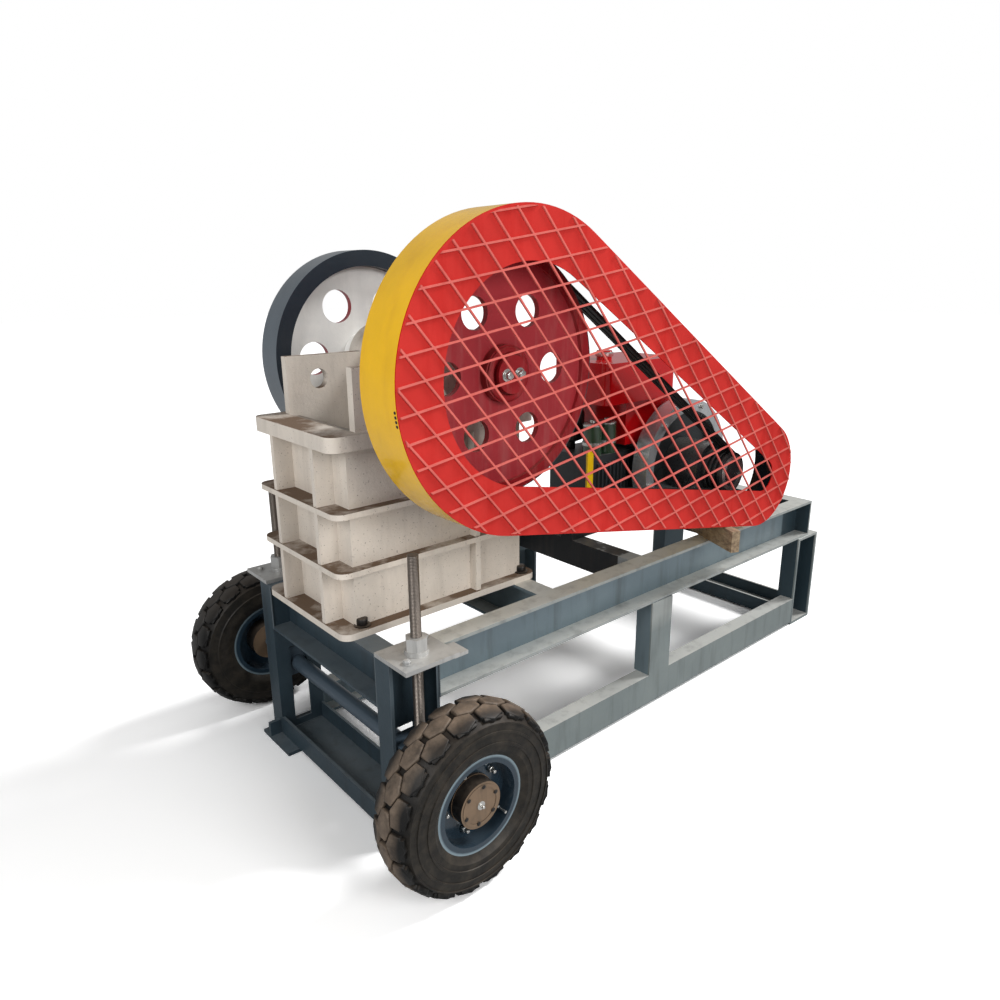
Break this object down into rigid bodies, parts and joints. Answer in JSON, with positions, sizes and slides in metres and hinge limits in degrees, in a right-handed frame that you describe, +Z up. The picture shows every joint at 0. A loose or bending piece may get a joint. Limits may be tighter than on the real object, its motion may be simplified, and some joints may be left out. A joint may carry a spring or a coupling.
{
  "type": "jaw crusher",
  "caption": "Small jaw crusher on a steel channel frame with two jack-raised wheels, belt driven from a single-cylinder diesel engine under a mesh guard.",
  "frame": {"origin": "centre of the bounding box on the ground, Z=0 at the floor", "axes": "+X runs from the crusher to the engine, +Z up, -Y is the belt guard's side"},
  "size_m": [2.472, 1.362, 1.714],
  "materials": {
    "frame_paint": "satin",
    "bare_steel": "satin",
    "dark_steel": "satin",
    "tyre": "matte",
    "hub_metal": "worn",
    "black_paint": "satin",
    "yellow_paint": "gloss",
    "red_paint": "satin",
    "cream_paint": "satin",
    "jaw_iron": "rough",
    "belt_rubber": "matte",
    "engine_grey": "satin",
    "engine_red": "gloss",
    "green_paint": "gloss",
    "wheel_white": "satin",
    "pulley_red": "satin",
    "timber": "rough"
  },
  "bodies": {
    "frame": {"upper_rail_near": "frame_paint", "upper_rail_far": "frame_paint", "upper_cross_members": "frame_paint", "upper_cross_rear": "frame_paint", "front_post_near": "frame_paint", "front_post_far": "frame_paint", "rear_posts": "frame_paint", "rear_top_plate": "frame_paint", "mid_posts": "frame_paint", "lower_rails": "frame_paint", "lower_cross_members": "frame_paint", "foot_pads": "frame_paint", "jack_plates": "bare_steel", "jack_nuts": "bare_steel", "engine_beams": "black_paint", "engine_bearers": "frame_paint", "upright_strap": "yellow_paint", "timber_prop": "timber", "guard_bracket": "yellow_paint", "guard_band": "yellow_paint", "guard_front": "red_paint", "crusher_frame": "cream_paint", "fixed_jaw": "jaw_iron", "moving_jaw": "cream_paint", "toggle_plate": "jaw_iron", "bearing_blocks": "cream_paint", "drive_belts": "belt_rubber", "engine_block": "engine_grey", "engine_hood": "engine_red", "fuel_tank": "engine_red", "fuel_filters": "green_paint"},
    "axle": {"axle_beam": "dark_steel", "axle_carriers": "dark_steel", "jack_screws": "bare_steel"},
    "near_wheel": {"tyre_near": "tyre", "rim_near": "frame_paint", "hub_near": "hub_metal"},
    "far_wheel": {"tyre_far": "tyre", "rim_far": "frame_paint", "hub_far": "hub_metal"},
    "crusher_rotor": {"crusher_shaft": "bare_steel", "flywheel": "wheel_white", "belt_pulley": "pulley_red"},
    "engine_rotor": {"engine_flywheel": "bare_steel", "engine_pulley": "black_paint"}
  },
  "joints": [
    {"name": "jack_slide", "type": "slide", "parent": "frame", "child": "axle", "axis": [0, 0, 1], "range_m": [-0.18, 0.04]},
    {"name": "near_wheel_spin", "type": "hinge", "parent": "axle", "child": "near_wheel", "pos_m": [-0.977, -0.609, 0.259], "axis": [0, 1, 0], "continuous": true},
    {"name": "far_wheel_spin", "type": "hinge", "parent": "axle", "child": "far_wheel", "pos_m": [-0.977, 0.609, 0.259], "axis": [0, 1, 0], "continuous": true},
    {"name": "crusher_spin", "type": "hinge", "parent": "frame", "child": "crusher_rotor", "pos_m": [-0.627, 0, 1.287], "axis": [0, 1, 0], "continuous": true},
    {"name": "engine_spin", "type": "hinge", "parent": "frame", "child": "engine_rotor", "pos_m": [0.533, -0.2, 0.806], "axis": [0, 1, 0], "continuous": true}
  ],
  "couplings": [
    {"joint": "engine_spin", "follows": "crusher_spin", "ratio": 4.3947}
  ]
}
